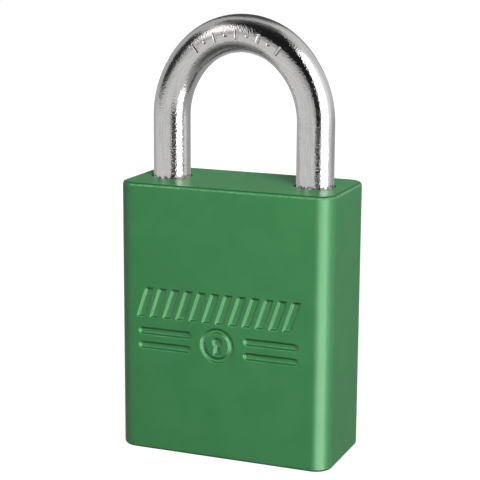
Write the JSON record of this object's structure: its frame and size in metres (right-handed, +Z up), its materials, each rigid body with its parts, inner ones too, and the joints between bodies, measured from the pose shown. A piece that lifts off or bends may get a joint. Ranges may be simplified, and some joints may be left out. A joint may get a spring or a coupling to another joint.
{
  "type": "safety padlock",
  "caption": "Solid-body safety padlock: a rounded block with a bent rod shackle. Its keyed core turns a cam that draws back locking balls so the shackle can rise.",
  "frame": {"origin": "middle of the body's underside, closed padlock standing on it", "axes": "+Z up from the underside to the crown of the shackle, -Y out of the front face, +X towards the toe leg"},
  "size_m": [0.0382, 0.0186, 0.0746],
  "materials": {
    "anodised_body": "bead-blasted and anodised green, satin, with a fine grain",
    "plated_shackle": "polished, bright plated",
    "ball_steel": "hardened and polished",
    "plated_steel": "turned and zinc plated",
    "core_brass": "machined, satin",
    "pin_brass": "turned, bright",
    "nickel_silver": "turned, bright",
    "spring_steel": "drawn wire, lightly oiled"
  },
  "bodies": {
    "case": {"body": "anodised_body", "cylinder_shell": "core_brass", "pin_chamber_cap": "core_brass", "cylinder_screw": "plated_steel", "shackle_spring": "spring_steel", "pin_spring_1": "spring_steel", "pin_spring_2": "spring_steel", "pin_spring_3": "spring_steel", "pin_spring_4": "spring_steel", "pin_spring_5": "spring_steel", "pin_spring_6": "spring_steel"},
    "shackle": {"shackle": "plated_shackle"},
    "plug": {"plug": "core_brass", "plug_retaining_clip": "spring_steel"},
    "actuator": {"actuator": "plated_steel"},
    "toe_ball": {"toe_ball": "ball_steel"},
    "heel_ball": {"heel_ball": "ball_steel"},
    "key_pin_1": {"key_pin_1": "pin_brass"},
    "driver_pin_1": {"driver_pin_1": "nickel_silver"},
    "key_pin_2": {"key_pin_2": "pin_brass"},
    "driver_pin_2": {"driver_pin_2": "nickel_silver"},
    "key_pin_3": {"key_pin_3": "pin_brass"},
    "driver_pin_3": {"driver_pin_3": "nickel_silver"},
    "key_pin_4": {"key_pin_4": "pin_brass"},
    "driver_pin_4": {"driver_pin_4": "nickel_silver"},
    "key_pin_5": {"key_pin_5": "pin_brass"},
    "driver_pin_5": {"driver_pin_5": "nickel_silver"},
    "key_pin_6": {"key_pin_6": "pin_brass"},
    "driver_pin_6": {"driver_pin_6": "nickel_silver"}
  },
  "joints": [
    {"name": "plug_turn", "type": "hinge", "parent": "case", "child": "plug", "pos_m": [0, 0, 0.0143], "axis": [0, 0, 1], "range_deg": [-90, 0]},
    {"name": "actuator_turn", "type": "hinge", "parent": "case", "child": "actuator", "pos_m": [0, 0, 0.0355], "axis": [0, 0, 1], "range_deg": [-90, 0]},
    {"name": "toe_ball_slide", "type": "slide", "parent": "case", "child": "toe_ball", "axis": [1, 0, 0], "range_m": [0, 0.0017]},
    {"name": "heel_ball_slide", "type": "slide", "parent": "case", "child": "heel_ball", "axis": [-1, 0, 0], "range_m": [0, 0.000945]},
    {"name": "shackle_lift", "type": "slide", "parent": "case", "child": "shackle", "axis": [0, 0, 1], "range_m": [0, 0.017], "deforming": ["shackle_spring"]},
    {"name": "key_pin_1_slide", "type": "slide", "parent": "plug", "child": "key_pin_1", "axis": [0, 1, 0], "range_m": [-0.001, 0]},
    {"name": "key_pin_2_slide", "type": "slide", "parent": "plug", "child": "key_pin_2", "axis": [0, 1, 0], "range_m": [-0.0002, 0]},
    {"name": "key_pin_3_slide", "type": "slide", "parent": "plug", "child": "key_pin_3", "axis": [0, 1, 0], "range_m": [-0.0012, 0]},
    {"name": "key_pin_4_slide", "type": "slide", "parent": "plug", "child": "key_pin_4", "axis": [0, 1, 0], "range_m": [-0.0005, 0]},
    {"name": "key_pin_5_slide", "type": "slide", "parent": "plug", "child": "key_pin_5", "axis": [0, 1, 0], "range_m": [-0.0001, 0]},
    {"name": "key_pin_6_slide", "type": "slide", "parent": "plug", "child": "key_pin_6", "axis": [0, 1, 0], "range_m": [-0.0008, 0]},
    {"name": "driver_pin_1_slide", "type": "slide", "parent": "case", "child": "driver_pin_1", "axis": [1, 0, 0], "range_m": [0, 0.0022], "stiffness_N_per_m": 60, "springref_m": -0.003, "deforming": ["pin_spring_1"]},
    {"name": "driver_pin_2_slide", "type": "slide", "parent": "case", "child": "driver_pin_2", "axis": [1, 0, 0], "range_m": [0, 0.0022], "stiffness_N_per_m": 60, "springref_m": -0.003, "deforming": ["pin_spring_2"]},
    {"name": "driver_pin_3_slide", "type": "slide", "parent": "case", "child": "driver_pin_3", "axis": [1, 0, 0], "range_m": [0, 0.0022], "stiffness_N_per_m": 60, "springref_m": -0.003, "deforming": ["pin_spring_3"]},
    {"name": "driver_pin_4_slide", "type": "slide", "parent": "case", "child": "driver_pin_4", "axis": [1, 0, 0], "range_m": [0, 0.0022], "stiffness_N_per_m": 60, "springref_m": -0.003, "deforming": ["pin_spring_4"]},
    {"name": "driver_pin_5_slide", "type": "slide", "parent": "case", "child": "driver_pin_5", "axis": [1, 0, 0], "range_m": [0, 0.0022], "stiffness_N_per_m": 60, "springref_m": -0.003, "deforming": ["pin_spring_5"]},
    {"name": "driver_pin_6_slide", "type": "slide", "parent": "case", "child": "driver_pin_6", "axis": [1, 0, 0], "range_m": [0, 0.0022], "stiffness_N_per_m": 60, "springref_m": -0.003, "deforming": ["pin_spring_6"]}
  ],
  "couplings": [
    {"joint": "actuator_turn", "follows": "plug_turn", "ratio": 1},
    {"joint": "toe_ball_slide", "follows": "plug_turn", "m_per_rad": -0.00108},
    {"joint": "heel_ball_slide", "follows": "plug_turn", "m_per_rad": -0.0006}
  ]
}
